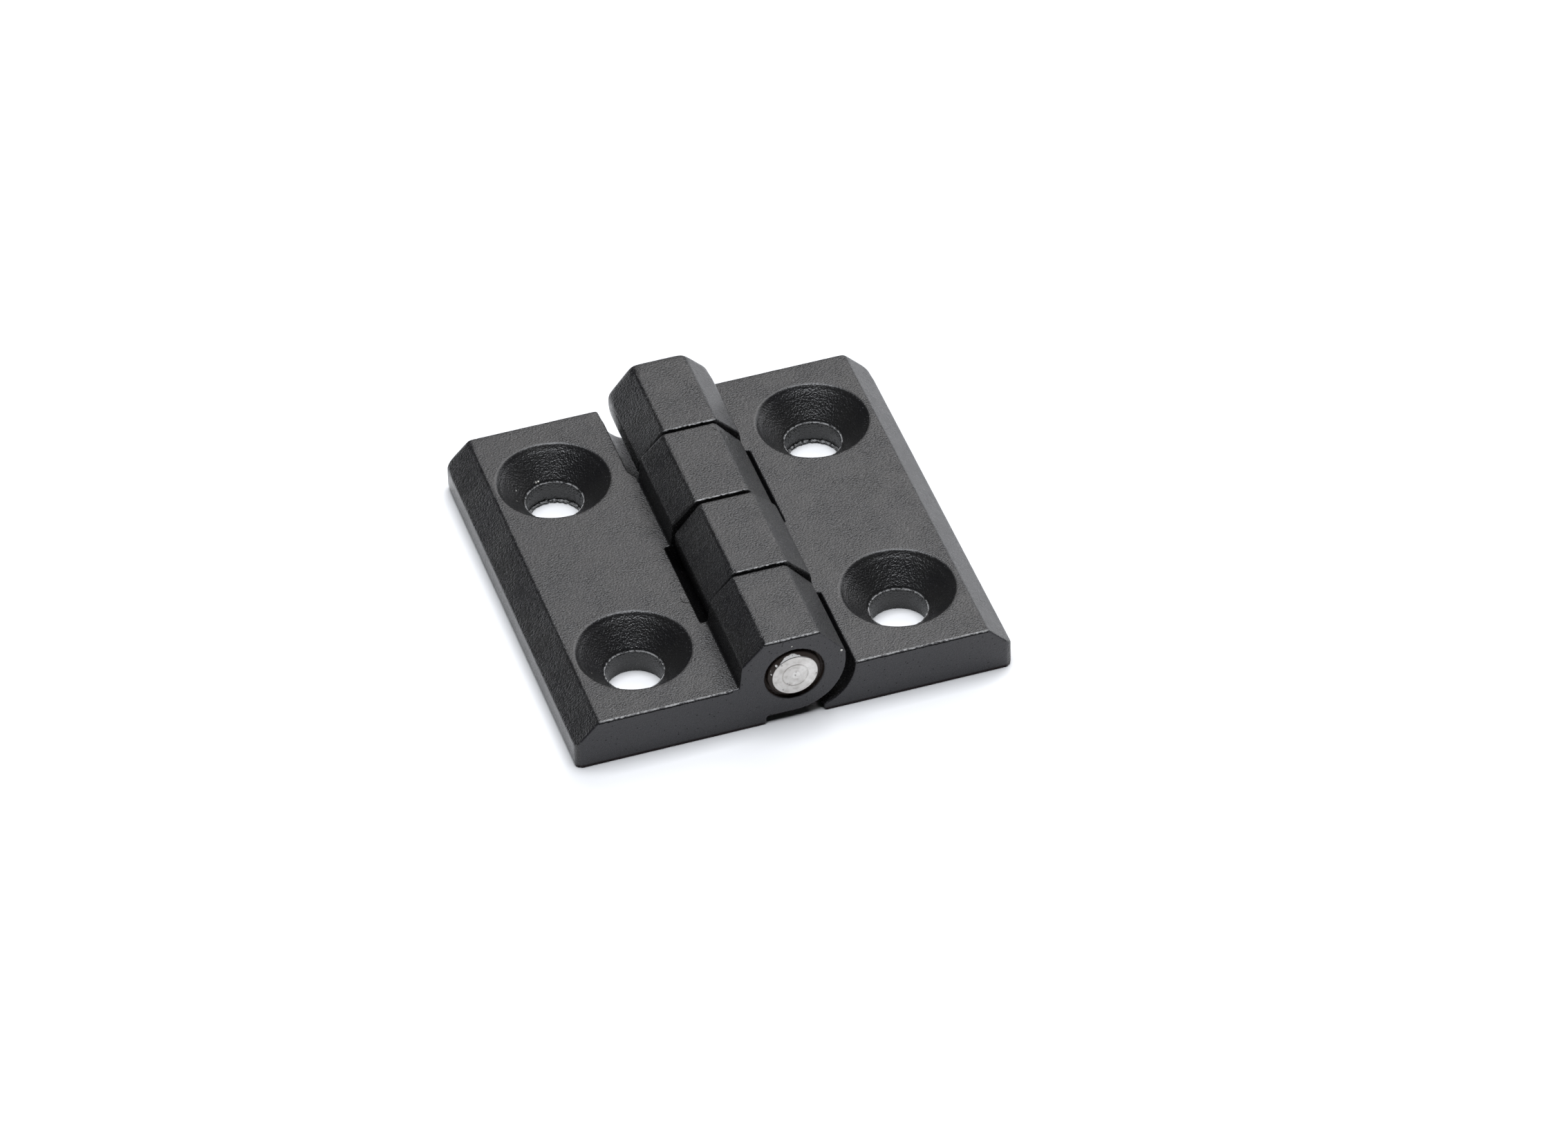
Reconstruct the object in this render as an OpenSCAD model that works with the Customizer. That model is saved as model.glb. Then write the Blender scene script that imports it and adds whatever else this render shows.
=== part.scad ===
// Block hinge: two cast leaves, four alternating knuckles and one pin.
// X runs across the leaves, Y along the pin, and +Z is the face that shows.
// The origin is the middle of the mounting plane, under the pin.

/* [Leaves] */
// Length of each leaf along the pin
leaf_len = 50; // [40:0.5:80]
// Reach of each leaf, from the pin's plane to its outer edge
leaf_reach = 25; // [24:0.5:50]
// Thickness of each leaf
leaf_t = 6; // [5.5:0.1:6.2]
// Width of the bevel along a leaf's outer edge
bevel_w = 2.8; // [0.5:0.1:4]
// Height of that bevel
bevel_h = 2.9; // [0.5:0.1:4]
// Radius of a leaf's two outer corners
corner_r = 0.8; // [0.3:0.1:2]
// Radius of the rounded edges under a leaf
under_r = 0.5; // [0.2:0.1:0.9]

/* [Screw holes] */
// Distance between a leaf's two screw holes
hole_pitch = 30; // [24:0.5:34]
// Distance from the pin to each row of screw holes
hole_row = 15.2; // [14.5:0.1:17]
// Diameter of the screw holes
hole_d = 6.5; // [4.5:0.1:6.6]
// Diameter of the countersink at the top face
sink_d = 12.8; // [10:0.1:13]

/* [Knuckles] */
// Height of the knuckles' flat top above the mounting plane
knuckle_h = 11.6; // [11.2:0.1:12]
// Radius of the knuckles' round side
knuckle_r = 5.9; // [5.5:0.1:6]
// Height of the underside of the knuckles above the mounting plane
knuckle_lift = 1.1; // [0.8:0.1:1.4]
// Half width of the flat top, on the side of the knuckle's own leaf
flat_own = 3.2; // [2.5:0.1:3.4]
// Half width of the flat top, on the side of the other leaf
flat_free = 2.9; // [2.5:0.1:3.1]
// Where the joint between the two rear knuckles lies, along the pin
joint_rear = 12.3; // [11:0.1:13.5]
// Where the joint between the two middle knuckles lies
joint_mid = -0.2; // [-1:0.1:1]
// Where the joint between the two front knuckles lies
joint_front = -13; // [-13.5:0.1:-11]
// Gap between neighbouring knuckles
knuckle_gap = 0.4; // [0.2:0.05:0.6]

/* [Pin] */
// Diameter of the pin
pin_d = 6; // [5:0.1:6.2]
// Height of the pin's axis above the mounting plane
pin_z = 6.4; // [6.3:0.1:6.5]
// How far the pin stands out of the front knuckle
pin_proud = 0.4; // [0:0.1:0.8]
// Running clearance on the radius, between the pin and the swinging leaf
run_gap = 0.05; // [0.02:0.01:0.1]

/* [Hidden] */
$fn = 96;
coat = [0.2, 0.2, 0.21];
steel = [0.75, 0.75, 0.73];
slip = 0.02;                               // lets a cutter pass through a face
front = -leaf_len / 2;
rear = leaf_len / 2;
hole_r = hole_d / 2;
sink_r = sink_d / 2;
sink_depth = sink_r - hole_r;              // a 90 degree countersink
pin_r = pin_d / 2;
pin_len = leaf_len;
pin_bevel = 0.4;
mouth_r = pin_r + 0.4;                     // the pin sits in a wider mouth at each end
mouth_depth = 0.6;
wall_foot = 6.25;                          // side of the knuckle at the leaf's top face
wall_top = 5.9;                            // and at the bottom of the knuckle's bevel
wall_h = 8.9;
shoulder_h = 8;                            // foot of the bevel on the free side
knuckle_mid = knuckle_lift + knuckle_r;    // centre of the round side
foot_x = 3.3;                              // inner edge of the leaf's underside
pocket_r = 5.1;                            // hollow that clears the other leaf's knuckle
pocket_x = 1.85;
pocket_z = 5.85;
half_gap = knuckle_gap / 2;
fixed_knuckles = [[front, joint_front - half_gap], [joint_mid + half_gap, joint_rear - half_gap]];
swing_knuckles = [[joint_front + half_gap, joint_mid - half_gap], [joint_rear + half_gap, rear]];

// Outline of a leaf on the +X side, square at the inner end
module leaf_outline() {
    difference() {
        polygon([
            [foot_x, 0],
            [leaf_reach, 0],
            [leaf_reach, leaf_t - bevel_h],
            [leaf_reach - bevel_w, leaf_t],
            [foot_x, leaf_t]
        ]);
        under_edge(foot_x, 1);
        under_edge(leaf_reach, -1);
    }
}

// What rounding takes off an underside corner at x; dir points into the leaf
module under_edge(x, dir) {
    difference() {
        translate([x + dir * under_r / 2, 0])
            square(under_r + slip, center = true);
        translate([x + dir * under_r, under_r])
            circle(under_r);
    }
}

// The hollow beside the other leaf's knuckle
module pocket_outline() {
    translate([pocket_x, pocket_z]) circle(pocket_r);
    translate([0, pocket_z]) square([pocket_x + pocket_r, leaf_t]);
}

// A knuckle with its own leaf on the +X side
module knuckle_outline() {
    intersection() {
        polygon([
            [wall_foot, 0],
            [wall_foot, leaf_t],
            [wall_top, wall_h],
            [flat_own, knuckle_h],
            [-flat_free, knuckle_h],
            [-knuckle_r, shoulder_h],
            [-knuckle_r, 0]
        ]);
        union() {
            translate([0, knuckle_lift]) square([wall_foot, knuckle_h]);
            translate([-knuckle_r, knuckle_mid]) square([knuckle_r + slip, knuckle_h]);
            translate([0, knuckle_mid]) circle(knuckle_r);
        }
    }
}

// Stands an X-Z outline up and runs it along the pin, from y0 to y1
module run(y0, y1) {
    translate([0, y1, 0]) rotate([90, 0, 0]) linear_extrude(y1 - y0) children();
}

// A round cutter along the pin's axis
module along_pin(r, y0, y1) {
    translate([0, y1, pin_z]) rotate([90, 0, 0]) cylinder(r = r, h = y1 - y0);
}

// What rounding takes off one outer corner of a leaf; end is -1 in front and 1 at the rear
module outer_corner(end) {
    translate([leaf_reach, end * leaf_len / 2, 0]) difference() {
        translate([0, 0, leaf_t / 2])
            cube([2 * corner_r, 2 * corner_r, leaf_t + 2 * slip], center = true);
        translate([-corner_r, -end * corner_r, -2 * slip])
            cylinder(r = corner_r, h = leaf_t + 4 * slip);
    }
}

// A countersunk screw hole
module screw_hole(y) {
    translate([hole_row, y, 0]) {
        translate([0, 0, -slip]) cylinder(r = hole_r, h = leaf_t);
        translate([0, 0, leaf_t - sink_depth])
            cylinder(r1 = hole_r, r2 = sink_r + slip, h = sink_depth + slip);
    }
}

// One cast leaf on the +X side, with its knuckles at the stretches given
module leaf(knuckles, bore_r) {
    difference() {
        union() {
            difference() {
                run(front, rear) leaf_outline();
                run(front - slip, rear + slip) pocket_outline();
            }
            for (k = knuckles) run(k[0], k[1]) {
                leaf_foot();
                knuckle_outline();
            }
        }
        for (end = [-1, 1]) outer_corner(end);
        for (side = [-1, 1]) screw_hole(side * hole_pitch / 2);
        along_pin(bore_r, front - slip, rear + slip);
        along_pin(mouth_r, front - slip, front + mouth_depth);
        along_pin(mouth_r, rear - mouth_depth, rear + slip);
    }
}

// The leaf's inner end where it carries a knuckle, with the hollow filled in
module leaf_foot() {
    intersection() {
        leaf_outline();
        square([hole_row, leaf_t]);
    }
}

module fixed_leaf() {
    color(coat) mirror([1, 0, 0]) leaf(fixed_knuckles, pin_r);
}

module swing_leaf() {
    color(coat) leaf(swing_knuckles, pin_r + run_gap);
}

module hinge_pin() {
    pin_front = front - pin_proud;
    pin_rear = pin_front + pin_len;
    color(steel) translate([0, pin_rear, pin_z]) rotate([90, 0, 0]) rotate_extrude() polygon([
        [0, 0],
        [pin_r - pin_bevel, 0],
        [pin_r, pin_bevel],
        [pin_r, pin_len - pin_bevel],
        [pin_r - pin_bevel, pin_len],
        [0, pin_len]
    ]);
}

fixed_leaf();
swing_leaf();
hinge_pin();
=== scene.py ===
import math
from contextlib import contextmanager

import bmesh
import bpy
from mathutils import Matrix, Vector


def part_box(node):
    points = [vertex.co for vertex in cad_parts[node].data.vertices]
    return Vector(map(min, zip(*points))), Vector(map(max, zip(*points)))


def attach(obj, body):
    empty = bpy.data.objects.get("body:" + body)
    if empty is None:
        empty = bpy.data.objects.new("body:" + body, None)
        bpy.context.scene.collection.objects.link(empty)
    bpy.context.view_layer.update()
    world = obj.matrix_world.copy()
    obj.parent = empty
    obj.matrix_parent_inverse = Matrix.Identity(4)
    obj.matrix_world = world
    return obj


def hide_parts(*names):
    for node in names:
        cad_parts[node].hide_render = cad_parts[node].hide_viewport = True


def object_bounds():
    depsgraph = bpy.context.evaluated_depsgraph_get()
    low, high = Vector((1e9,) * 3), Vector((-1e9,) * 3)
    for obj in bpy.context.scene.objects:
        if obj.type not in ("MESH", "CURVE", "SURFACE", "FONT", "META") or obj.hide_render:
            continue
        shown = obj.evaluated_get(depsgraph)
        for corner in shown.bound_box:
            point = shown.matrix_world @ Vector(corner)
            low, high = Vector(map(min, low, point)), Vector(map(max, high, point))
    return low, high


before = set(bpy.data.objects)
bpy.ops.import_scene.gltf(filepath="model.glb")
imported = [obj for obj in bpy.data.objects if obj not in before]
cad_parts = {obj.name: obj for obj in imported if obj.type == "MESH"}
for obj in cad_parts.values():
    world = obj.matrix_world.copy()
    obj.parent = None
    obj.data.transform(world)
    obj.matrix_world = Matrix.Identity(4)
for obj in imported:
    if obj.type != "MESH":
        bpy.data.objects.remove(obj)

mm = 0.001
scene = bpy.context.scene
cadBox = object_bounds()
frontEnd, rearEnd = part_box("fixed_leaf")[0].y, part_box("fixed_leaf")[1].y


class Field:  # one socket of a node tree, which sums can be written with
    def __init__(self, sheet, socket):
        self.sheet = sheet
        self.socket = socket

    def maths(self, operation, first, second=0.0):
        return self.sheet.add("ShaderNodeMath", {"operation": operation}, {0: first, 1: second})

    def __add__(self, other):
        return self.maths("ADD", self, other)

    def __radd__(self, other):
        return self.maths("ADD", other, self)

    def __sub__(self, other):
        return self.maths("SUBTRACT", self, other)

    def __rsub__(self, other):
        return self.maths("SUBTRACT", other, self)

    def __mul__(self, other):
        return self.maths("MULTIPLY", self, other)

    def __rmul__(self, other):
        return self.maths("MULTIPLY", other, self)

    def __truediv__(self, other):
        return self.maths("DIVIDE", self, other)

    def __rtruediv__(self, other):
        return self.maths("DIVIDE", other, self)

    def __pow__(self, other):
        return self.maths("POWER", self, other)

    def __abs__(self):
        return self.maths("ABSOLUTE", self)

    def most(self, other):
        return self.maths("MAXIMUM", self, other)

    def cosine(self):
        return self.maths("COSINE", self)

    def sine(self):
        return self.maths("SINE", self)

    def ramp(self, low, high, toLow=0.0, toHigh=1.0, style="SMOOTHSTEP"):
        values = {0: self, 1: low, 2: high, 3: toLow, 4: toHigh}
        return self.sheet.add("ShaderNodeMapRange", {"interpolation_type": style}, values)


class Sheet:  # a node tree, of a material or of geometry nodes
    def __init__(self, tree):
        self.tree = tree

    def add(self, kind, settings=None, values=None, out=0):
        node = self.tree.nodes.new(kind)
        for name, value in (settings or {}).items():
            setattr(node, name, value)
        for name, value in (values or {}).items():
            if isinstance(value, Field):
                self.tree.links.new(value.socket, node.inputs[name])
            else:
                node.inputs[name].default_value = value
        return Field(self, node.outputs[out]) if node.outputs else node

    def split(self, vector):  # its x, y and z
        parts = self.add("ShaderNodeSeparateXYZ", None, {0: vector})
        return [Field(self, output) for output in parts.socket.node.outputs]

    def noise(self, place, size, detail=2.0, roughness=0.5):
        values = {"Vector": place, "Scale": 1 / size, "Detail": detail, "Roughness": roughness}
        return self.add("ShaderNodeTexNoise", {"noise_dimensions": "3D"}, values)

    def cells(self, place, size, dimensions="3D"):  # how far the middle of the nearest cell is, in cells
        values = {"Vector": place, "Scale": 1 / size}
        return self.add("ShaderNodeTexVoronoi", {"voronoi_dimensions": dimensions}, values)

    def tint(self, share, first, second):
        colours = {0: share, 6: first, 7: second}
        return self.add("ShaderNodeMix", {"data_type": "RGBA"}, colours, out=2)

    def near(self, place, spots):  # 1 close to any of some spots (x, y, z, radius in mm)
        total = 0.0
        for x, y, z, radius in spots:
            values = {0: place, 1: (x * mm, y * mm, z * mm)}
            reach = self.add("ShaderNodeVectorMath", {"operation": "DISTANCE"}, values, out=1)
            total = reach.ramp(radius * mm, radius * 0.6 * mm).most(total)
        return total


def newMaterial(name):
    material = bpy.data.materials.new(name)
    material.use_nodes = True
    material.node_tree.nodes.clear()
    return material, Sheet(material.node_tree)


def coat(sheet, values):
    shader = sheet.add("ShaderNodeBsdfPrincipled", None, values)
    sheet.add("ShaderNodeOutputMaterial", None, {"Surface": shader})


# The shot: a long lens from the front left, looking down at the open hinge
shot = {
    "azimuth": -16.865,
    "elevation": 41.431,
    "roll": -1.863,
    "distance": 925.8 * mm,
    "aim": (6.371 * mm, -1.31 * mm, 0),
    "lens": 191.46,
    "sensor": 36,
}


def heading(azimuth, elevation):  # from the front, turning to the right, and up
    turn, tilt = math.radians(azimuth), math.radians(elevation)
    return Vector((math.sin(turn) * math.cos(tilt), -math.cos(turn) * math.cos(tilt), math.sin(tilt)))


def makeCamera():
    back = heading(shot["azimuth"], shot["elevation"])
    side = Vector((0, 0, 1)).cross(back).normalized()
    pose = Matrix((side, back.cross(side), back)).transposed()
    roll = Matrix.Rotation(math.radians(shot["roll"]), 3, "Z")
    camera = bpy.data.cameras.new("camera")
    camera.lens = shot["lens"]
    camera.sensor_width = shot["sensor"]
    camera.clip_start = 10 * mm
    holder = bpy.data.objects.new("camera", camera)
    holder.matrix_world = (pose @ roll).to_4x4()
    holder.location = Vector(shot["aim"]) + back * shot["distance"]
    scene.collection.objects.link(holder)
    scene.camera = holder


# A white table under one broad light, with softer ones behind that the tops reflect
studio = {
    "floorSize": 4.0,
    "floorGrey": 0.86,
    "floorCloud": 0.3,  # size of its paler areas
    "floorChange": 1.02,  # and how much paler they are
    "floorGap": 0.02 * mm,  # keeps the floor just under the hinge
    "worldStrength": 0.01,
    "reach": 1.2,  # of the lights, from the hinge
    "lights": {
        "above": {"from": (0, 90), "size": 0.9, "brightness": 7.3, "tint": (0.96, 0.985, 1.03)},
        "behind": {"from": (165, 41), "size": 0.8, "brightness": 1.56, "tint": (1, 0.985, 0.99)},
        "behindRight": {"from": (140, 45), "size": 0.7, "brightness": 2.3, "tint": (1, 0.985, 0.99)},
        "right": {"from": (120, 25), "size": 0.7, "brightness": 2.0, "tint": (0.98, 0.99, 1.03)},
    },
}


def makeStudio():
    world = bpy.data.worlds.new("studio")
    scene.world = world
    world.use_nodes = True
    world.node_tree.nodes["Background"].inputs["Strength"].default_value = studio["worldStrength"]
    for name, lamp in studio["lights"].items():
        light = bpy.data.lights.new(name, "AREA")
        light.size = lamp["size"]
        light.color = lamp["tint"]
        light.energy = lamp["brightness"] * math.pi * lamp["size"] ** 2
        holder = bpy.data.objects.new(name, light)
        out = heading(*lamp["from"])
        holder.location = out * studio["reach"]
        holder.rotation_euler = out.to_track_quat("Z", "Y").to_euler()
        scene.collection.objects.link(holder)
    half = studio["floorSize"] / 2
    mesh = bpy.data.meshes.new("floor")
    corners = [(-half, -half, 0), (half, -half, 0), (half, half, 0), (-half, half, 0)]
    mesh.from_pydata(corners, [], [(0, 1, 2, 3)])
    floor = bpy.data.objects.new("floor", mesh)
    floor.location.z = cadBox[0].z - studio["floorGap"]
    scene.collection.objects.link(floor)
    material, sheet = newMaterial("white table")
    place = sheet.add("ShaderNodeTexCoord", out=3)
    cloud = sheet.noise(place, studio["floorCloud"])
    grey = studio["floorGrey"]
    pale = grey * studio["floorChange"]
    paper = sheet.tint(cloud, (grey, grey, grey, 1), (pale, pale, pale, 1))
    coat(sheet, {"Base Color": paper, "Roughness": 0.8, "Specular IOR Level": 0.2})
    mesh.materials.append(material)


# The sizes of the castings that the finish and the small shapes go by, in mm
leafShape = {
    "top": 6.0,
    "bevelStart": 22.2,  # from the pin's plane
    "edge": 25.0,
    "pocket": 6.95,  # outer wall of the hollows
    "holeRow": 15.2,
    "holePitch": 30.0,
    "holeRadius": 3.25,
    "sinkRadius": 6.4,
    "throat": 2.85,  # where the countersink ends
}
knuckleShape = {  # the left leaf is the fixed one
    "top": 11.6,
    "pinHeight": 6.4,
    "mouthRadius": 3.4,
    "fixed": {"fronts": (-25.0, 0.0), "joints": (-13.2, 12.1), "flat": (-3.2, 2.9)},
    "swing": {"fronts": (-12.8, 12.5), "joints": (-0.4,), "flat": (-2.9, 3.2)},
}

# Fine textured black powder coat, coarser in the countersinks, smooth and pitted on the front ends
coatLook = {
    "colour": (0.0100, 0.0098, 0.0105),
    "wornColour": (0.0135, 0.0132, 0.0130),
    "residue": (0.026, 0.016, 0.011),  # in the mouth around the pin
    "chip": (0.55, 0.54, 0.50),
    "roughness": 0.30,
    "grainRoughness": 0.25,  # how far the grain changes it
    "mouthRoughness": 0.3,
    "wallGloss": 0.12,  # the outer walls are this much smoother
    "wearSize": 5 * mm,
    # painted light: the front ends are paler and bluer, standing in for the light they get from the floor
    "frontLitColour": (0.0160, 0.0150, 0.0190),
    "grainSize": 0.20 * mm,
    "grainSqueeze": 1.4,  # the grain is this much shorter along the pin
    "grainHeight": 0.046 * mm,
    "dotSize": 0.28 * mm,
    "dotHeight": 0.037 * mm,
    "patchSize": 3.5 * mm,  # the grain is stronger in some patches
    "patchStrength": (0.8, 1.35),
    "frontLoss": 0.55,  # share of the grain that the front ends lose
    "rimLoss": 0.6,
    "speckLoss": 0.6,  # share of the specks that the countersinks lose
    "sinkGrainSize": 0.21 * mm,
    "sinkGrainHeight": 0.085 * mm,
    "speckSpacing": 0.32 * mm,
    "speckColour": (0.09, 0.09, 0.095),
    # painted highlight: the pale colour of the beads of coat along the edges, standing in for the light
    # they catch
    "beadHighlight": (0.26, 0.26, 0.26),
    "highlightPatches": 0.35 * mm,
    "footShadeColour": (0.010, 0.004, 0.004),  # painted shade along the foot of the front ends, where the rounded under edge turns down to the floor
    "footShadeShare": 0.9,
    # painted shade: near black in the pits and in the groove under the front edges
    "recessShadeColour": (0.001, 0.001, 0.001),
    "pitSpacing": 0.85,  # in mm
    "pitPatches": 0.9,  # in mm
    "pitReach": 0.09,  # share of the spacing
    "pitShare": 0.65,
    "pitDepth": 0.05 * mm,
    "lineShare": 0.9,  # of the dark line under the front edges
    "lineWaver": 0.16,  # in mm
    "lineGrain": 0.5 * mm,
    "lineDepth": 0.10 * mm,
    "gougeSize": 0.5 * mm,
    "gougeDepth": 0.12 * mm,
    "scuffs": [  # x, y, z and radius in mm
        (3.1, 11.4, 11.4, 0.9),
        (3.5, 10.4, 11.1, 0.6),
        (-3.1, -12.4, 11.5, 0.7),
        (-7.2, -9.0, 6.0, 0.8),
    ],
    "chips": [  # on the front knuckle's rim, and in the left leaf's countersinks
        (5.4, -25.0, 8.2, 0.17),
        (-0.2, -25.0, 10.4, 0.09),
        (-16.0, 18.5, 3.2, 0.14),
        (-16.3, 18.4, 3.2, 0.16),
        (-19.0, 17.0, 3.9, 0.12),
        (-19.4, 15.4, 3.8, 0.10),
        (-20.2, -15.6, 4.6, 0.10),
        (-20.5, -17.2, 5.3, 0.08),
    ],
}


def blackCoat():
    look, leaf, knuckle, front = coatLook, leafShape, knuckleShape, frontEnd / mm
    material, sheet = newMaterial("black powder coat")
    place = sheet.add("ShaderNodeTexCoord", out=3)
    x, y, z = [part / mm for part in sheet.split(place)]
    side = abs(x)

    # masks for the places that have a finish of their own, with soft borders in mm
    across, along = side - leaf["holeRow"], abs(y) - leaf["holePitch"] / 2
    fromHole = (across * across + along * along) ** 0.5
    rim = leaf["sinkRadius"]
    inSink = fromHole.ramp(rim - 0.25, rim - 0.8) * z.ramp(leaf["top"] - 0.2, leaf["top"] - 0.7)
    inSink = inSink * fromHole.ramp(leaf["holeRadius"] + 0.1, leaf["holeRadius"] + 0.3)
    atRim = abs(fromHole - rim + 0.1).ramp(0.35, 0.15) * z.ramp(leaf["top"] - 0.5, leaf["top"] - 0.3)
    onFront = y.ramp(front + 0.15, front + 0.05)
    up = z - knuckle["pinHeight"]
    fromPin = (x * x + up * up) ** 0.5
    inMouth = fromPin.ramp(knuckle["mouthRadius"] + 0.25, knuckle["mouthRadius"] - 0.02)

    # the grain
    values = {0: place, 1: (1, look["grainSqueeze"], 1)}
    squeezed = sheet.add("ShaderNodeVectorMath", {"operation": "MULTIPLY"}, values)
    fine = sheet.noise(squeezed, look["grainSize"], detail=1.0)
    dots = sheet.cells(squeezed, look["dotSize"])
    patches = sheet.noise(place, look["patchSize"]).ramp(0.35, 0.7, *look["patchStrength"])
    coarse = sheet.noise(place, look["sinkGrainSize"], detail=1.5, roughness=0.6)
    plain = (fine * look["grainHeight"] - dots * look["dotHeight"]) * patches
    plain = plain * (1 - look["frontLoss"] * onFront) * (1 - look["rimLoss"] * atRim)
    specks = sheet.cells(place, look["speckSpacing"]).ramp(0.2, 0.1)
    specks = specks * (1 - onFront) * (1 - look["speckLoss"] * inSink)

    # pits in the front ends, and gouges where the coat is scuffed
    flat = sheet.add("ShaderNodeCombineXYZ", None, {0: x, 1: z})
    pitSize = sheet.noise(flat, look["pitPatches"]).ramp(0.35, 0.7, 0.0, look["pitReach"])
    pits = (pitSize - sheet.cells(flat, look["pitSpacing"], "2D")).ramp(-0.02, 0.02) * onFront
    scuffed = sheet.near(place, look["scuffs"])
    gouges = sheet.noise(place, look["gougeSize"], detail=3.0) * scuffed

    # a ragged dark line runs under the front edges: a groove too fine for the mesh, bumped in and with
    # its shade painted in
    onLeaf = side.ramp(leaf["pocket"] - 0.1, leaf["pocket"] + 0.1)
    toTop = (leaf["top"] - z) * onLeaf + (knuckle["top"] - z) * (1 - onLeaf)
    toTop = toTop + side.ramp(leaf["bevelStart"], leaf["bevelStart"] + 0.3)
    under = toTop + sheet.noise(place, look["lineGrain"], detail=3.0) * look["lineWaver"]
    line = under.ramp(0.17, 0.22) * under.ramp(0.38, 0.32) * onFront

    # the beads of coat on the edges get a painted highlight, patches of pale colour standing in for the
    # light they catch
    throatLip = fromHole.ramp(leaf["holeRadius"] + 0.17, leaf["holeRadius"] + 0.11)
    throatLip = throatLip * abs(z - leaf["throat"]).ramp(0.13, 0.09)
    lipRadius, lipHeight = beadLook["innerLipRadius"] / mm, beadLook["innerLipHeight"] / mm
    innerLip = fromHole.ramp(lipRadius + 0.11, lipRadius + 0.07)
    innerLip = innerLip * z.ramp(lipHeight + 0.35, lipHeight + 0.25)
    leafEdge = toTop.ramp(0.14, 0.10) * y.ramp(front + 0.22, front + 0.16)
    onEdge = throatLip.most(innerLip).most(leafEdge)
    onTop = z.ramp(knuckle["top"] - 0.16, knuckle["top"] - 0.1)
    for knuckleFront in (*knuckle["fixed"]["fronts"], *knuckle["swing"]["fronts"]):
        onEdge = onEdge.most(abs(y - knuckleFront).ramp(0.2, 0.14) * onTop)
    # where the painted highlight lies on the beads
    pale = onEdge * sheet.noise(place, look["highlightPatches"]).ramp(0.35, 0.6)

    # all of it together
    height = plain * (1 - inSink) + coarse * look["sinkGrainHeight"] * inSink
    height = height - pits * look["pitDepth"] - gouges * look["gougeDepth"] - line * look["lineDepth"]
    bump = sheet.add("ShaderNodeBump", None, {"Strength": 1.0, "Distance": 1.0, "Height": height})
    wear = sheet.noise(place, look["wearSize"], detail=3.0).ramp(0.35, 0.65)
    black = sheet.tint(wear, (*look["colour"], 1), (*look["wornColour"], 1))
    stained = sheet.tint(inMouth, black, (*look["residue"], 1))
    # painted light on the front ends, a paler bluish colour for the floor light they catch
    frontLit = sheet.tint(onFront, stained, (*look["frontLitColour"], 1))
    speckled = sheet.tint(specks, frontLit, (*look["speckColour"], 1))
    highlighted = sheet.tint(pale, speckled, (*look["beadHighlight"], 1))
    # painted shade: the bottom of the front ends is darkened, as the contact shadow and the downward
    # under edge are
    foot = z.ramp(0.5, 0.2) * y.ramp(front + 0.5, front + 0.3) * look["footShadeShare"]
    footShaded = sheet.tint(foot, highlighted, (*look["footShadeColour"], 1))
    # painted shade: the pits and the groove under the front edges are coloured near black, where shade
    # falls in them
    holes = (pits * look["pitShare"]).most(line * look["lineShare"])
    dark = sheet.tint(holes, footShaded, (*look["recessShadeColour"], 1))
    chip = sheet.near(place, look["chips"])
    outerWall = side.ramp(leaf["edge"] - 0.15, leaf["edge"] - 0.05)
    roughness = look["roughness"] + (fine - 0.5) * look["grainRoughness"]
    roughness = roughness + inMouth * look["mouthRoughness"] - outerWall * look["wallGloss"]
    values = {
        "Base Color": sheet.tint(chip, dark, (*look["chip"], 1)),
        "Roughness": roughness,
        "Metallic": holes.most(chip * 0.6).most(foot),
        "Normal": bump,
    }
    coat(sheet, values)
    return material


# Geometry nodes make the ragged beads of coat on the front edges and in the screw holes
beadLook = {
    "spacing": 0.10 * mm,
    "sides": 6,  # of a bead
    "thinnest": 0.45,  # share of the thickness
    "thickest": 1.25,
    "bendSeed": 3.0,
    "swellSeed": 8.0,
    "edgeThickness": 0.075 * mm,
    "edgeInset": 0.04,  # in mm, behind the front end and under the leaf's top
    "knuckleDrop": 0.05,  # and under a knuckle's top
    "flatInset": 0.2,  # from the ends of a knuckle's flat
    "lipThickness": 0.055 * mm,
    "lipInset": 0.01,  # in mm, into the wall of the hole
    "waver": 0.26 * mm,
    "grain": 0.45 * mm,
    "lipWaver": 0.11 * mm,
    "innerLipRadius": 3.13 * mm,  # low in the rear holes
    "innerLipHeight": 0.30 * mm,
    "innerLipThickness": 0.16 * mm,
    "lipPoints": 128,  # round a hole
}


def newTree(name, inputs):
    tree = bpy.data.node_groups.new(name, "GeometryNodeTree")
    for label, kind in {"Geometry": "Geometry", **inputs}.items():
        tree.interface.new_socket(label, in_out="INPUT", socket_type="NodeSocket" + kind)
    tree.interface.new_socket("Geometry", in_out="OUTPUT", socket_type="NodeSocketGeometry")
    sheet = Sheet(tree)
    source = tree.nodes.new("NodeGroupInput")
    given = {socket.name: Field(sheet, socket) for socket in source.outputs if socket.name}
    return tree, sheet, given


def endTree(sheet, shape, material):  # every tree ends the same way
    whole = sheet.add("GeometryNodeRealizeInstances", None, {"Geometry": shape})
    painted = sheet.add("GeometryNodeSetMaterial", None, {"Geometry": whole, "Material": material})
    sheet.add("NodeGroupOutput", None, {"Geometry": painted})


beadInputs = {
    "Spacing": "Float",
    "Thickness": "Float",
    "Waver": "Float",
    "Grain": "Float",
    "Coat": "Material",
}


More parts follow.
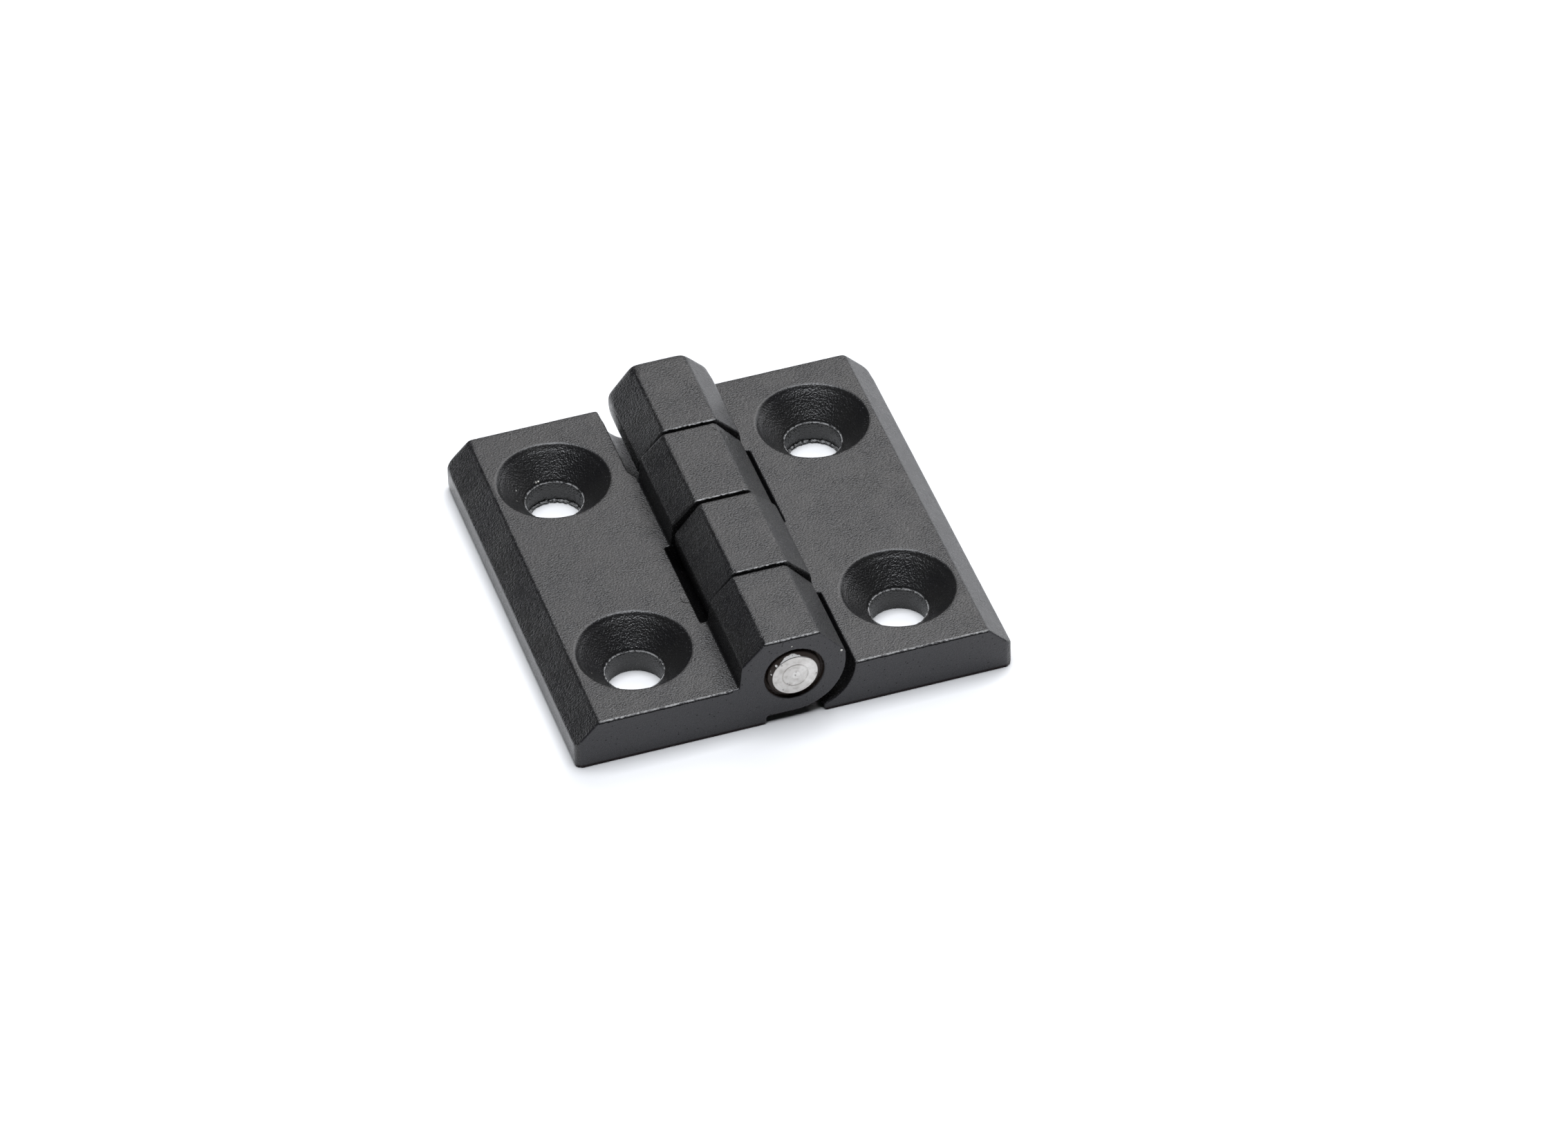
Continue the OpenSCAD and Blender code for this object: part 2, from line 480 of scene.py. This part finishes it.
def beadTree():  # a wavering tube along every edge of the mesh
    look = beadLook
    tree, sheet, given = newTree("ragged bead", beadInputs)
    path = sheet.add("GeometryNodeMeshToCurve", None, {"Mesh": given["Geometry"]})
    values = {"Curve": path, "Length": given["Spacing"]}
    path = sheet.add("GeometryNodeResampleCurve", {"mode": "LENGTH"}, values)
    settings = {"noise_dimensions": "4D"}
    bends = {"Scale": 1 / given["Grain"], "Detail": 2.0, "W": look["bendSeed"]}
    bend = sheet.add("ShaderNodeTexNoise", settings, bends, out=1)
    values = {0: bend, 1: (0.5, 0.5, 0.5)}
    centred = sheet.add("ShaderNodeVectorMath", {"operation": "SUBTRACT"}, values)
    values = {0: centred, 3: given["Waver"]}
    shift = sheet.add("ShaderNodeVectorMath", {"operation": "SCALE"}, values)
    path = sheet.add("GeometryNodeSetPosition", None, {"Geometry": path, "Offset": shift})
    swells = {"Scale": 1.3 / given["Grain"], "Detail": 2.0, "W": look["swellSeed"]}
    swell = sheet.add("ShaderNodeTexNoise", settings, swells)
    values = {"Resolution": look["sides"], "Radius": given["Thickness"]}
    profile = sheet.add("GeometryNodeCurvePrimitiveCircle", None, values)
    thickness = swell.ramp(0.3, 0.65, look["thinnest"], look["thickest"])
    values = {"Curve": path, "Profile Curve": profile, "Scale": thickness, "Fill Caps": True}
    endTree(sheet, sheet.add("GeometryNodeCurveToMesh", None, values), given["Coat"])
    return tree


def lipTree(beads):  # a bead round each point, for the screw holes
    tree, sheet, given = newTree("hole lips", {"Lip Radius": "Float", **beadInputs})
    values = {"Vertices": beadLook["lipPoints"], "Radius": given["Lip Radius"]}
    ring = sheet.add("GeometryNodeMeshCircle", None, values)
    values = {"Points": given["Geometry"], "Instance": ring}
    rings = sheet.add("GeometryNodeInstanceOnPoints", None, values)
    whole = sheet.add("GeometryNodeRealizeInstances", None, {"Geometry": rings})
    values = {"Geometry": whole, **{label: given[label] for label in beadInputs}}
    endTree(sheet, sheet.add("GeometryNodeGroup", {"node_tree": beads}, values), given["Coat"])
    return tree


def bake(thing):  # its modifiers, into its mesh
    bpy.context.view_layer.update()
    graph = bpy.context.evaluated_depsgraph_get()
    done = bpy.data.meshes.new_from_object(thing.evaluated_get(graph))
    thing.modifiers.clear()
    thing.data = done


def grow(name, tree, inputs, points, edges=()):  # a plain mesh from a geometry nodes tree
    mesh = bpy.data.meshes.new(name)
    mesh.from_pydata(points, edges, [])
    thing = bpy.data.objects.new(name, mesh)
    scene.collection.objects.link(thing)
    nodes = thing.modifiers.new(name, "NODES")
    nodes.node_group = tree
    for item in tree.interface.items_tree:
        if item.in_out == "INPUT" and item.name in inputs:
            nodes[item.identifier] = inputs[item.name]
    bake(thing)
    grown = thing.data
    bpy.data.objects.remove(thing)
    return grown


def beadSizes(material, thickness, waver):
    look = beadLook
    sizes = {"Spacing": look["spacing"], "Thickness": look[thickness], "Waver": look[waver]}
    return {**sizes, "Grain": look["grain"], "Coat": material}


def leafLips(side, material, trees):  # side is -1 for the left leaf and 1 for the right one
    look, leaf = beadLook, leafShape
    holes = [(side * leaf["holeRow"] * mm, end * leaf["holePitch"] / 2 * mm) for end in (-1, 1)]
    sizes = beadSizes(material, "lipThickness", "lipWaver")
    throat = {"Lip Radius": (leaf["holeRadius"] + look["lipInset"]) * mm, **sizes}
    points = [(x, y, leaf["throat"] * mm) for x, y in holes]
    lips = [grow("throat lips", trees["lips"], throat, points)]
    sizes = beadSizes(material, "innerLipThickness", "lipWaver")
    inner = {"Lip Radius": look["innerLipRadius"], **sizes}
    points = [(x, y, look["innerLipHeight"]) for x, y in holes[1:]]
    lips.append(grow("inner lips", trees["lips"], inner, points))
    return lips


def edgeBeads(side, material, trees):
    look, leaf = beadLook, leafShape
    knuckle = knuckleShape["fixed" if side < 0 else "swing"]
    y, top = frontEnd / mm + look["edgeInset"], leaf["top"] - look["edgeInset"]
    points = [(side * leaf["pocket"], y, top), (side * leaf["bevelStart"], y, top)]
    edges = [(0, 1)]
    left, right = knuckle["flat"]
    height = knuckleShape["top"] - look["knuckleDrop"]
    for front in knuckle["fronts"]:
        start = len(points)
        points.append((left + look["flatInset"], front + look["edgeInset"], height))
        points.append((right - look["flatInset"], front + look["edgeInset"], height))
        edges.append((start, start + 1))
    points = [tuple(value * mm for value in point) for point in points]
    sizes = beadSizes(material, "edgeThickness", "waver")
    return grow("edge beads", trees["beads"], sizes, points, edges)


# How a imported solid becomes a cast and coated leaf
castingShape = {
    "knuckleEdges": 0.6 * mm,  # radius along the knuckles' flats
    "leafEdges": 0.3 * mm,  # and along the leaves' edges
    "voxel": 0.13 * mm,
    "softSteps": 2,  # rounds every other edge a little
    "rimSteps": 4,  # the rims of the countersinks more
    "rearSteps": 90,  # and the rear ends most, above all the last knuckle's
    "rearReach": 2.4 * mm,
    "knuckleReach": 6.5 * mm,  # half the width in which the rear end is the knuckle's
    "leafRearShare": 0.35,  # how much of it the leaf's own rear end gets
    "jointSteps": 6,  # the rear ends of the other knuckles
    "jointFoot": 0.4,  # in mm, above the leaf
    "rimWidth": 0.4,  # in mm
    "rimFoot": 5 * mm,
    "cornerWidth": 0.75,  # the filled corner of the left leaf's rear hollow, in mm
    "cornerLength": 1.5,
    "cornerFlat": 0.25,
    "cornerFoot": 3.5,
    "cornerOverlap": 0.3,  # how far the filling reaches into the casting
    "unevenness": 0.014 * mm,
    "unevenSize": 1.1 * mm,
    "keptShare": 0.27,  # of the faces
}


@contextmanager
def editing(mesh):  # opens a mesh as a bmesh, and writes it back
    work = bmesh.new()
    work.from_mesh(mesh)
    yield work
    work.to_mesh(mesh)
    work.free()


def runsAlongPin(edge):  # a long convex edge between two walls
    way = edge.verts[1].co - edge.verts[0].co
    if len(edge.link_faces) < 2 or not edge.is_convex or way.length < 5 * mm:
        return False
    walls = max(abs(face.normal.y) for face in edge.link_faces) < 0.05
    return walls and abs(way.normalized().y) > 0.999


def roundLongEdges(mesh):
    shape = castingShape
    leafTop = leafShape["top"] * mm + 0.1 * mm
    settings = {"offset_type": "OFFSET", "segments": 5, "profile": 0.5, "affect": "EDGES"}
    settings["clamp_overlap"] = False
    turn = math.tan(math.radians(22))  # most of these edges turn by about 45 degrees
    with editing(mesh) as work:
        bmesh.ops.remove_doubles(work, verts=work.verts, dist=0.001 * mm)
        bmesh.ops.dissolve_limit(work, angle_limit=math.radians(0.5), verts=work.verts, edges=work.edges)
        onKnuckle = [edge for edge in work.edges if runsAlongPin(edge) and edge.verts[0].co.z > leafTop]
        bmesh.ops.bevel(work, geom=onKnuckle, offset=shape["knuckleEdges"] * turn, **settings)
        onLeaf = [edge for edge in work.edges if runsAlongPin(edge) and edge.verts[0].co.z < leafTop]
        bmesh.ops.bevel(work, geom=onLeaf, offset=shape["leafEdges"] * turn, **settings)
        bmesh.ops.triangulate(work, faces=work.faces)
        bmesh.ops.recalc_face_normals(work, faces=work.faces)


def fillCorner(mesh, side):  # the hollow's rear corner isn't square on the left leaf
    shape, overlap = castingShape, castingShape["cornerOverlap"]
    wall, end = (leafShape["pocket"] + overlap) * side, knuckleShape["fixed"]["joints"][1]
    inner = wall - (shape["cornerWidth"] + overlap) * side
    plan = [
        (wall, end - overlap),
        (inner, end - overlap),
        (inner, end + shape["cornerFlat"]),
        (wall - overlap * side, end + shape["cornerLength"]),
        (wall, end + shape["cornerLength"]),
    ]
    levels = [shape["cornerFoot"], leafShape["top"]]
    with editing(mesh) as work:
        rings = [[work.verts.new((x * mm, y * mm, level * mm)) for x, y in plan] for level in levels]
        for ring in rings:
            work.faces.new(ring)
        for start in range(len(plan)):
            after = (start + 1) % len(plan)
            work.faces.new((rings[0][start], rings[0][after], rings[1][after], rings[1][start]))
        bmesh.ops.recalc_face_normals(work, faces=work.faces)


def weigh(casting, name, share):  # a vertex group from a function of place
    group = casting.vertex_groups.new(name=name)
    for vertex in casting.data.vertices:
        weight = share(vertex.co)
        if weight > 0:
            group.add([vertex.index], min(1, weight), "REPLACE")


def soften(casting, steps, group=""):
    soft = casting.modifiers.new("soft " + group, "SMOOTH")
    soft.factor = 1
    soft.iterations = steps
    soft.vertex_group = group


def nearRear(spot):
    share = min(1, 2 * ((spot.y - rearEnd) / castingShape["rearReach"] + 1))
    onKnuckle = abs(spot.x) < castingShape["knuckleReach"]
    return share if onKnuckle else share * castingShape["leafRearShare"]


def nearJoint(joints):  # the rear ends of some knuckles, above the leaf
    def share(spot):
        reach = min(abs(spot.y / mm - joint) for joint in joints)
        above = spot.z / mm > leafShape["top"] + castingShape["jointFoot"]
        return min(1, 2 - 2 * reach) if above else 0

    return share


def nearRim(spot):
    hole = Vector((leafShape["holeRow"], leafShape["holePitch"] / 2)) * mm
    reach = (Vector((abs(spot.x), abs(spot.y))) - hole).length / mm
    off = abs(reach - leafShape["sinkRadius"]) / castingShape["rimWidth"]
    return 2 - off if spot.z > castingShape["rimFoot"] else 0


def faceOutwards(mesh):
    with editing(mesh) as work:
        bmesh.ops.recalc_face_normals(work, faces=work.faces)


def addShells(mesh, shells):  # closed pieces of coat that lie on the casting
    with editing(mesh) as work:
        for shell in shells:
            faceOutwards(shell)
            work.from_mesh(shell)


def makeCasting(node, name, body, side, material, trees):
    shape = castingShape
    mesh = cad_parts[node].data.copy()
    mesh.name = name
    roundLongEdges(mesh)
    if body == "fixed":
        fillCorner(mesh, side)
    casting = bpy.data.objects.new(name, mesh)
    scene.collection.objects.link(casting)
    skin = casting.modifiers.new("skin", "REMESH")
    skin.mode = "VOXEL"
    skin.voxel_size = shape["voxel"]
    bake(casting)
    weigh(casting, "rear", nearRear)
    weigh(casting, "joints", nearJoint(knuckleShape[body]["joints"]))
    weigh(casting, "rims", nearRim)
    soften(casting, shape["softSteps"])
    soften(casting, shape["rearSteps"], "rear")
    soften(casting, shape["jointSteps"], "joints")
    soften(casting, shape["rimSteps"], "rims")
    texture = bpy.data.textures.new(name + " unevenness", "CLOUDS")
    texture.noise_scale = shape["unevenSize"]
    uneven = casting.modifiers.new("coat", "DISPLACE")
    uneven.texture = texture
    uneven.strength = shape["unevenness"]
    thinner = casting.modifiers.new("fewer faces", "DECIMATE")
    thinner.ratio = shape["keptShare"]
    bake(casting)
    casting.vertex_groups.clear()
    addShells(casting.data, [*leafLips(side, material, trees), edgeBeads(side, material, trees)])
    casting.data.materials.clear()
    casting.data.materials.append(material)
    casting.data.polygons.foreach_set("use_smooth", [True] * len(casting.data.polygons))
    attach(casting, body)
    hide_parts(node)
    print(name, "done,", len(casting.data.polygons), "faces")


# The pin, turned from stainless bar
pinShape = {
    "bevel": 0.47 * mm,
    "setBack": 0.15 * mm,  # the front face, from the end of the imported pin
    "rings": 230,
    "faceShare": 0.34,  # of the rings lie on the front face
    "bevelShare": 0.05,
    "shaftEnd": 0.92,
    "backStart": 0.96,
    "spokes": 120,
    "toolMarks": [  # radius, half width and depth in mm
        (0.0, 0.16, 0.070),
        (0.92, 0.20, 0.014),
        (1.47, 0.06, 0.035),
        (2.05, 0.09, 0.014),
        (2.38, 0.05, 0.018),
    ],
}
pinLook = {
    "colour": (0.54, 0.525, 0.505),
    "smearColour": (0.32, 0.30, 0.28),
    "smearShare": 0.55,
    "stainRing": (1.3, 1.4, 1.47, 1.57),  # radii in mm where a ring of stain starts and ends
    "stainShare": 0.5,
    "residue": (0.026, 0.016, 0.011),
    "spot": (0.05, 0.04, 0.035),
    "bare": (0.84, 0.83, 0.81),
    "glintShare": 0.45,
    "roughness": 0.32,
    "cloudRoughness": 0.25,  # how far the clouds change it
    "dirtRoughness": 0.3,
    "ringPitch": 0.11,  # in mm
    "ringHeight": 0.0012 * mm,
    "grainHeight": 0.006 * mm,
    "bareReach": 2.93,  # the bare crescent on the bevel, in mm
    "bareMiddle": -0.4,
    "bareBend": 0.2,
    "bareWaver": 0.35,
    "bareFoot": (1.4, 1.6),  # above the axis
    "bareFlecks": [(-2.6, -25.1, 7.5, 0.28), (-2.7, -25.1, 7.1, 0.16), (-2.1, -25.1, 8.2, 0.2)],
    "spots": [(-1.5, -25.25, 8.2, 0.13), (-0.7, -25.25, 5.2, 0.11), (-1.4, -25.25, 4.7, 0.12),
              (2.4, -25.25, 6.0, 0.10), (0.1, -25.25, 6.8, 0.10), (-0.9, -25.25, 5.5, 0.08)],
    "glints": [(1.5, -25.25, 7.0, 1.3), (1.6, -25.25, 5.5, 0.8), (0.1, -25.25, 6.4, 0.6)],
}


def pinTree():  # a sheet of rings and spokes wrapped round the axis
    inputs = {"Radius": "Float", "Length": "Float", "Front": "Float", "Height": "Float", "Bevel": "Float"}
    tree, sheet, given = newTree("turned pin", {**inputs, "Steel": "Material"})
    shape = pinShape
    values = {"Size X": 1.0, "Size Y": 1.0}
    values.update({"Vertices X": shape["rings"], "Vertices Y": shape["spokes"] + 1})
    grid = sheet.add("GeometryNodeMeshGrid", None, values)
    across, around, _ = sheet.split(sheet.add("GeometryNodeInputPosition"))
    ring = across + 0.5
    angle = (around + 0.5) * (2 * math.pi)
    faceEnd, shaftEnd, backStart = shape["faceShare"], shape["shaftEnd"], shape["backStart"]
    shaftStart = faceEnd + shape["bevelShare"]

    def rise(low, high):
        return ring.ramp(low, high, style="LINEAR")

    face = given["Radius"] - given["Bevel"]
    opening, closing = rise(faceEnd, shaftStart), rise(shaftEnd, backStart)
    reach = face * (rise(0, faceEnd) - rise(backStart, 1)) + given["Bevel"] * (opening - closing)
    shaft = given["Length"] - 2 * given["Bevel"]
    depth = given["Bevel"] * (opening + closing) + shaft * rise(shaftStart, shaftEnd)
    onFace = rise(faceEnd, faceEnd - 0.01)
    for radius, width, sink in shape["toolMarks"]:
        dent = abs(reach - radius * mm).ramp(width * mm, 0.0) * sink * mm
        depth = depth + dent * onFace
    x = reach * angle.cosine()
    z = reach * angle.sine() + given["Height"]
    place = sheet.add("ShaderNodeCombineXYZ", None, {0: x, 1: given["Front"] + depth, 2: z})
    turned = sheet.add("GeometryNodeSetPosition", None, {"Geometry": grid, "Position": place})
    values = {"Geometry": turned, "Distance": 0.0005 * mm}
    closed = sheet.add("GeometryNodeMergeByDistance", None, values)
    endTree(sheet, closed, given["Steel"])
    return tree


def turnedSteel():
    look = pinLook
    material, sheet = newMaterial("turned stainless steel")
    place = sheet.add("ShaderNodeTexCoord", out=3)
    x, y, z = [part / mm for part in sheet.split(place)]
    up = z - knuckleShape["pinHeight"]
    reach = (x * x + up * up) ** 0.5
    cloud = sheet.noise(place, 0.7 * mm, detail=4.0)
    fine = sheet.noise(place, 0.12 * mm, detail=3.0)
    groove = ((reach / look["ringPitch"] + cloud * 1.2) * (2 * math.pi)).sine()
    height = groove * look["ringHeight"] + fine * look["grainHeight"]
    bump = sheet.add("ShaderNodeBump", None, {"Strength": 1.0, "Distance": 1.0, "Height": height})
    stainStart, stainFull, stainFade, stainEnd = look["stainRing"]
    stain = reach.ramp(stainEnd, stainFade) * reach.ramp(stainStart, stainFull)
    smear = cloud.ramp(0.42, 0.72) * look["smearShare"] + stain * look["stainShare"]
    steel = sheet.tint(smear, (*look["colour"], 1), (*look["smearColour"], 1))
    bevelStart = (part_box("hinge_pin")[1].x - pinShape["bevel"]) / mm
    onBevel = reach.ramp(bevelStart + 0.02, bevelStart + 0.08)
    # painted highlights: soft pale discs in the bare colour stand in for glints on the face
    glints = sheet.near(place, look["glints"]) * cloud.ramp(0.4, 0.6)
    bright = sheet.tint((glints * look["glintShare"]).most(onBevel), steel, (*look["bare"], 1))
    spots = sheet.near(place, look["spots"]) * fine.ramp(0.35, 0.55)
    spotted = sheet.tint(spots, bright, (*look["spot"], 1))

    # coat and dirt fill the bevel, but for a bare crescent at the top
    fromMiddle = x - look["bareMiddle"]
    crescent = look["bareReach"] - fromMiddle * fromMiddle * look["bareBend"] - reach
    crescent = crescent + (cloud - 0.5) * look["bareWaver"]
    bare = crescent.ramp(0.0, 0.08) * up.ramp(*look["bareFoot"]) * fine.ramp(0.3, 0.4)
    bare = bare.most(sheet.near(place, look["bareFlecks"]) * cloud.ramp(0.4, 0.5))
    dirt = onBevel * (1 - bare)
    roughness = look["roughness"] + (cloud - 0.5) * look["cloudRoughness"] + dirt * look["dirtRoughness"]
    values = {
        "Base Color": sheet.tint(dirt, spotted, (*look["residue"], 1)),
        "Metallic": 1 - dirt.most(spots).most(onBevel),
        "Roughness": roughness,
        "Normal": bump,
    }
    coat(sheet, values)
    return material


def makePin(material):
    low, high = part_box("hinge_pin")
    inputs = {
        "Radius": (high.x - low.x) / 2,
        "Length": high.y - low.y - pinShape["setBack"],
        "Front": low.y + pinShape["setBack"],
        "Height": (low.z + high.z) / 2,
        "Bevel": pinShape["bevel"],
        "Steel": material,
    }
    mesh = grow("pin", pinTree(), inputs, [(0, 0, 0)])
    faceOutwards(mesh)
    mesh.polygons.foreach_set("use_smooth", [True] * len(mesh.polygons))
    pin = bpy.data.objects.new("turned_pin", mesh)
    scene.collection.objects.link(pin)
    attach(pin, "fixed")
    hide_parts("hinge_pin")
    print("pin done,", len(mesh.polygons), "faces")


makeCamera()
makeStudio()
print("camera and studio done")
blackPaint = blackCoat()
beads = beadTree()
trees = {"beads": beads, "lips": lipTree(beads)}
makeCasting("fixed_leaf", "fixed_casting", "fixed", -1, blackPaint, trees)
makeCasting("swing_leaf", "swing_casting", "swing", 1, blackPaint, trees)
makePin(turnedSteel())
scene.view_settings.view_transform = "Standard"
